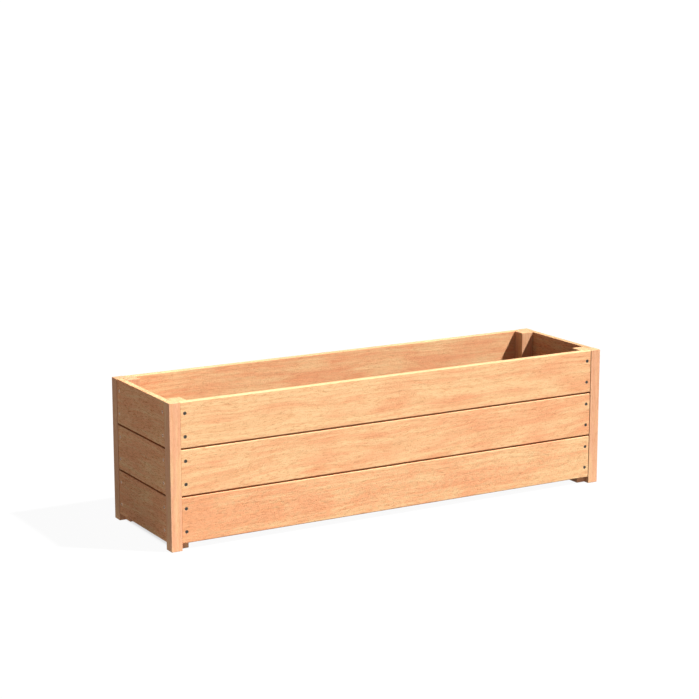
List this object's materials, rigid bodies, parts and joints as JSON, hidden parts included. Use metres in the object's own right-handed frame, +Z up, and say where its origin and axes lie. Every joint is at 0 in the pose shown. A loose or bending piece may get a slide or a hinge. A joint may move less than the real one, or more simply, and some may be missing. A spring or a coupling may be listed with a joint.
{
  "type": "wooden planter",
  "caption": "Long open-topped wooden planter box: horizontal boards screwed into rebated corner posts that run down as feet, with a slatted floor on bearers inside.",
  "frame": {"origin": "middle of the footprint, on the ground under the feet", "axes": "+X along the length, -Y towards the front, +Z up"},
  "size_m": [1.61, 0.432, 0.466],
  "materials": {
    "board_wood": "planed, clear oiled",
    "post_wood": "planed, clear oiled",
    "floor_wood": "sawn, dark stained",
    "screw_steel": "dull, dark"
  },
  "bodies": {
    "root": {"post_front_left": "post_wood", "post_front_right": "post_wood", "post_back_right": "post_wood", "post_back_left": "post_wood", "front_board_lower": "board_wood", "front_board_middle": "board_wood", "front_board_upper": "board_wood", "right_end_board_lower": "board_wood", "right_end_board_middle": "board_wood", "right_end_board_upper": "board_wood", "back_board_lower": "board_wood", "back_board_middle": "board_wood", "back_board_upper": "board_wood", "left_end_board_lower": "board_wood", "left_end_board_middle": "board_wood", "left_end_board_upper": "board_wood", "floor_bearer_front": "floor_wood", "floor_bearer_back": "floor_wood", "floor_slat_01": "floor_wood", "floor_slat_02": "floor_wood", "floor_slat_03": "floor_wood", "floor_slat_04": "floor_wood", "floor_slat_05": "floor_wood", "floor_slat_06": "floor_wood", "floor_slat_07": "floor_wood", "floor_slat_08": "floor_wood", "floor_slat_09": "floor_wood", "floor_slat_10": "floor_wood", "front_screws": "screw_steel", "right_end_screws": "screw_steel", "back_screws": "screw_steel", "left_end_screws": "screw_steel", "floor_bearer_front_screws": "screw_steel", "floor_bearer_back_screws": "screw_steel"}
  },
  "joints": []
}
